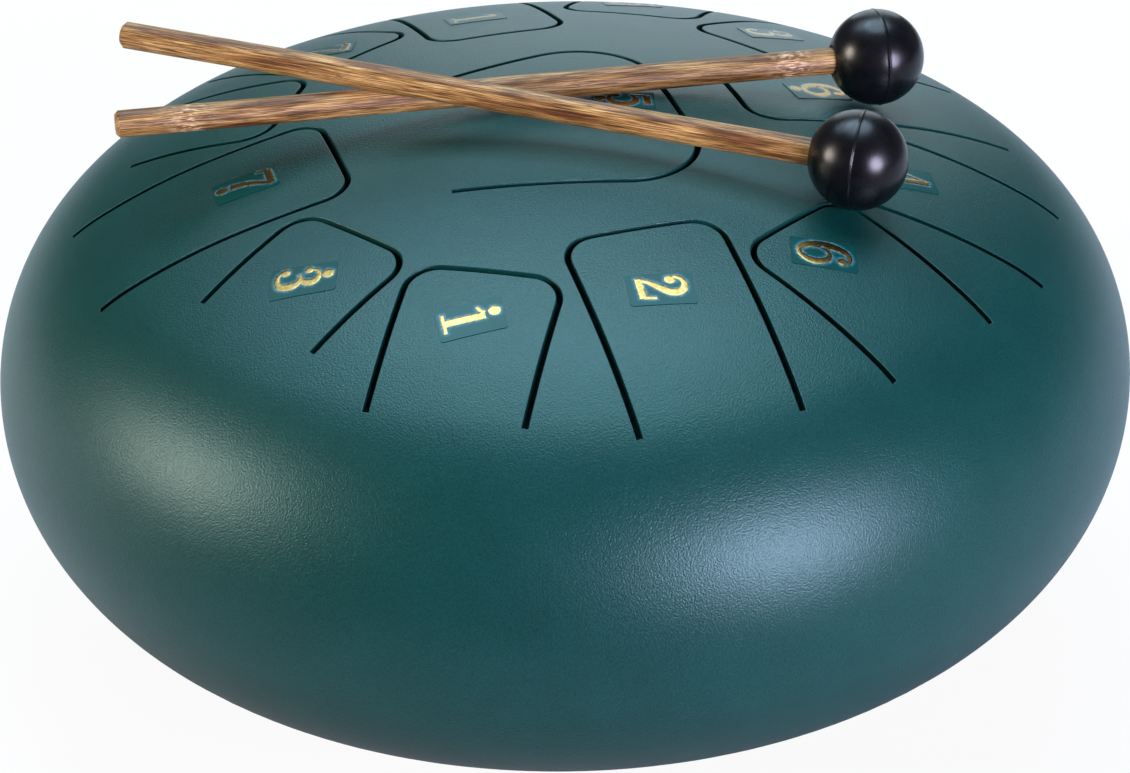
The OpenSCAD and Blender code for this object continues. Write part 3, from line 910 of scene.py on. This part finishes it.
# washer, nut and screw, in millimetres: radii, edges and lengths; past is the screw's end past
# its nut, gap what seated pieces keep between them
fasteners = {
    "gap": 0.02,
    "washer": {"radius": 5.0, "hole": 2.25, "thick": 0.9, "edge": 0.15, "edgeRun": 0.12,
               "sides": 48},
    "nut": {"flat": 3.5, "corner": 3.82, "face": 3.3, "faceRun": 0.3, "thick": 3.2, "hole": 2.06,
            "mouth": 2.35, "mouthRun": 0.2, "sides": 72},
    "screw": {"headHeight": 2.6, "thread": 1.98, "root": 1.7, "pitch": 0.7, "plain": 5.2,
              "point": 1.0, "past": 1.4, "arm": 2.1, "armWidth": 0.55, "sides": 96},
}

# the first foot's line: it leans with the shell, so it points away from the crown arc's middle
lean = math.asin(feet["ring"] / crownArc)
footWay = np.array([math.sin(lean), 0, -math.cos(lean)])
footSeat = np.array([0, 0, seamZ - crownZ]) + footWay * crownArc
# the washer bears on the curved inside with its edge, this far off in the middle
insideArc = crownArc - drum["wall"]
washerRise = insideArc - math.sqrt(insideArc ** 2 - fasteners["washer"]["radius"] ** 2)
washerRise += fasteners["gap"]
washerTop = -drum["wall"] - washerRise


# four copies of a piece turned on the first foot's line, from rows of (run, radius)
def pieceOnFeet(name, wholeName, rows, sides, material, loop=True, sharp=35):
    rings = [ringAt(footSeat, footWay, run, radius, sides) for run, radius in rows]
    return copiesRound(ringSolid(name, rings, material, loop, sharp), material, wholeName)


def footRows():
    upPart = outFrom(footWay, feet["sides"])[:, 2]

    def ground(radius):
        return -(footSeat[2] + radius * upPart) / footWay[2]

    def seat(radius):
        return fasteners["gap"] - (crownArc - math.sqrt(crownArc ** 2 - radius ** 2))

    def flank(run):
        return (feet["seat"] - (feet["seat"] - feet["end"]) * run / feet["height"]) / 2

    end, grip, recess, hole = flank(feet["height"]), feet["grip"], feet["recess"], feet["hole"]
    # the seat, from the shell's screw hole out to a rounded edge
    rows = [(seat(radius), radius) for radius in (drum["screwHole"], 7.0, 12.7)]
    rows += [(seat(13.5) + 0.25, 13.35)]
    # down the flank to a rounded lower edge
    rows += [(run, flank(run)) for run in (0.9, 2.5, 4.5, 6.5, 8.5)]
    rows += [(ground(end) - 1.2, end + 0.2), (ground(end) - 0.45, end - 0.15),
             (ground(end - 0.6) - 0.1, end - 0.6)]
    # the flat face on the ground, and the rounded mouth of the recess
    rows += [(ground(end - 1.2), end - 1.2), (ground(6.2), 6.2), (ground(5.6) - 0.08, 5.6),
             (ground(recess + 0.1) - 0.5, recess + 0.1)]
    # down the recess to the screw's head, and back up the hole
    rows += [(grip + 0.5, recess), (grip + 0.1, recess - 0.1), (grip, 4.5), (grip, 2.4),
             (grip - 0.2, hole), (0.4, hole)]
    return rows


def washerRows(size):
    radius, hole, edge = size["radius"], size["hole"], size["edge"]
    top, bottom, run = washerTop, washerTop - size["thick"], size["edgeRun"]
    return [(top, hole + edge), (top, radius - edge), (top - run, radius), (bottom + run, radius),
            (bottom, radius - edge), (bottom, hole + edge), (bottom + run, hole), (top - run, hole)]


def nutRows(size):
    turn = fullTurn(size["sides"]) % (math.pi / 3) - math.pi / 6
    hexagon = size["flat"] / np.cos(turn)
    face, corner = (np.minimum(hexagon, size[key]) for key in ("face", "corner"))
    top = washerTop - fasteners["washer"]["thick"] - fasteners["gap"]
    bottom, run, hole, mouth = top - size["thick"], size["faceRun"], size["hole"], size["mouth"]
    return [(top, mouth), (top, face), (top - run, corner), (bottom + run, corner), (bottom, face),
            (bottom, mouth), (bottom + size["mouthRun"], hole), (top - size["mouthRun"], hole)]


# pan-head screw: a cross recess, a rounded head and a shank with its thread's ridges
def screwRows(size):
    arm = np.abs((fullTurn(size["sides"]) + math.pi / 4) % (math.pi / 2) - math.pi / 4)
    cross = np.minimum(size["arm"], size["armWidth"] / np.maximum(np.sin(arm), 0.2))
    cross = cross * np.where(arm < 0.3, 1, 0.62)
    under = feet["grip"] + fasteners["gap"]
    top = under + size["headHeight"]
    rows = [(top - 1.5, cross * 0.3), (top - 1.3, cross * 0.55), (top - 0.12, cross)]
    rows += [(top, cross + 0.1), (top, 2.6), (top - 0.25, 3.3), (top - 0.75, 3.8)]
    rows += [(top - 1.3, 3.98), (under, 3.98), (under, 2.0)]
    held = feet["grip"] + drum["wall"] + washerRise + fasteners["washer"]["thick"]
    held += fasteners["nut"]["thick"] + 2 * fasteners["gap"]
    end, thread, root = under - (held + size["past"]), size["thread"], size["root"]
    run, pitch = under - size["plain"], size["pitch"]
    while run > end + size["point"]:
        rows += [(run, thread), (run - pitch * 0.42, root), (run - pitch * 0.58, root)]
        run -= pitch
    return rows + [(end + 0.4, 1.9), (end, 1.5), (end, 0.6)]


allFeet = pieceOnFeet("foot", "rubber_feet", footRows(), feet["sides"], footRubber, sharp=60)
dress(allFeet, "foot_rubber", "drum", "foot_1", "foot_2", "foot_3", "foot_4")
for name, rowsOf, settings in (("washer", washerRows, {}), ("nut", nutRows, {"sharp": 25}),
                               ("screw", screwRows, {"loop": False, "sharp": 40})):
    size = fasteners[name]
    pieces = pieceOnFeet(name, "plated_" + name + "s", rowsOf(size), size["sides"], steel,
                         **settings)
    dress(pieces, "fastener_steel", "drum", "foot_" + name + "s")
print("feet and fasteners made")


# the pale room, in metres: goneFrom to goneTo is where the sheet fades out towards the front in
# gloss, shares the plain white that the camera sees at each distance from the drum's middle
room = {
    "floor": "#f2f2f2", "floorHalf": 6, "goneFrom": (-0.7, 1.0), "goneTo": (0.3, 0.1),
    # dark under the sound hole, because the slits look through it
    "shares": [(0.055, "#000000"), (0.075, "#f6f6f6"), (0.35, "#f6f6f6"), (0.9, "#ffffff")],
    "air": "#dfe6e8", "airStrength": 0.05, "airInGloss": 0.05,
}


# gloss rays, and those of the camera, straight or through something clear
def raysOf(tree):
    path = addNode(tree, "ShaderNodeLightPath").outputs
    seen = addNode(tree, "ShaderNodeMath", {
        0: path["Is Camera Ray"], 1: path["Is Transmission Ray"]}, operation="MAXIMUM")
    return path["Is Glossy Ray"], seen


# floor: all but white to the camera with the drum's shadow left in it, a lit sheet in gloss
def paleFloor():
    look = {"colour": room["floor"], "roughness": 0.9}
    material, tree, shader = newMaterial("studio_floor_white", look)
    glossRay, seen = raysOf(tree)
    place = addNode(tree, "ShaderNodeTexCoord").outputs["Object"]
    parts = addNode(tree, "ShaderNodeSeparateXYZ", {"Vector": place})
    (front, missingFront), (behind, missingBehind) = room["goneFrom"], room["goneTo"]
    gone = addNode(tree, "ShaderNodeMapRange", {
        "Value": parts.outputs["Y"], "From Min": front, "From Max": behind,
        "To Min": missingFront, "To Max": missingBehind}, interpolation_type="SMOOTHSTEP")
    gloss = addNode(tree, "ShaderNodeMath", {0: glossRay, 1: gone}, operation="MULTIPLY")
    glow = addNode(tree, "ShaderNodeEmission", {"Color": (1, 1, 1, 1), "Strength": seen})
    away = addNode(tree, "ShaderNodeVectorMath", {0: place}, operation="LENGTH")
    bright = addNode(tree, "ShaderNodeValToRGB", {"Fac": away.outputs["Value"]})
    setStops(bright, room["shares"])
    white = addNode(tree, "ShaderNodeMath", {0: seen, 1: bright}, operation="MULTIPLY")
    share = addNode(tree, "ShaderNodeMath", {0: white, 1: gloss}, operation="MAXIMUM")
    mixed = addNode(tree, "ShaderNodeMixShader", {0: share, 1: shader, 2: glow})
    setInputs(tree, tree.nodes["Material Output"], {"Surface": mixed})
    return material


# air: dim in itself and white to the camera; in gloss only a small share of the white shows,
# because the photo's room was dark round its soft boxes
def paleAir():
    world = bpy.data.worlds.new("studio")
    world.use_nodes = True
    tree = world.node_tree
    glossRay, seen = raysOf(tree)
    dim = tree.nodes["Background"]
    setInputs(tree, dim, {"Color": linear(room["air"]), "Strength": room["airStrength"]})
    white = addNode(tree, "ShaderNodeBackground", {"Color": (1, 1, 1, 1), "Strength": 1.0})
    share = addNode(tree, "ShaderNodeMath", {
        0: glossRay, 1: room["airInGloss"], 2: seen}, operation="MULTIPLY_ADD")
    mixed = addNode(tree, "ShaderNodeMixShader", {0: share, 1: dim, 2: white})
    setInputs(tree, tree.nodes["World Output"], {"Surface": mixed})
    return world


half = room["floorHalf"]
floor = newObject("floor", [(-half, -half, 0), (half, -half, 0), (half, half, 0), (-half, half, 0)],
                  [[0, 1, 2, 3]], paleFloor())
scene.world = paleAir()

# soft boxes: azimuth from the front, elevation, distance, size in metres, watts, colour
lamps = {
    "left": (-78, 19, 1.6, 0.62, 15.8, (1.15, 1, 0.88)),
    "key": (39, 12.8, 1.6, 0.76, 27.5, (1.06, 1, 1.38)),
    "top": (168, 74, 1.6, 1.25, 17.8, (0.72, 1, 1.26)),
    "back": (174, 17, 2.0, 1.4, 6.5, (0.85, 1, 1.1)),
    "backLeft": (-142, 58, 1.6, 0.8, 4, (0.75, 1, 1.25)),
}
lampAim = Vector((0, 0, 0.1))
for name, (azimuth, elevation, distance, size, watts, colour) in lamps.items():
    a, e = math.radians(azimuth), math.radians(elevation)
    away = Vector((math.sin(a) * math.cos(e), -math.cos(a) * math.cos(e), math.sin(e)))
    data = bpy.data.lights.new(name, "AREA")
    data.shape, data.size, data.energy, data.color = "DISK", size, watts, colour
    lamp = bpy.data.objects.new(name, data)
    turn = away.to_track_quat("Z", "Y").to_matrix().to_4x4()
    lamp.matrix_world = Matrix.Translation(away * distance + lampAim) @ turn
    scene.collection.objects.link(lamp)
print("stage lit")
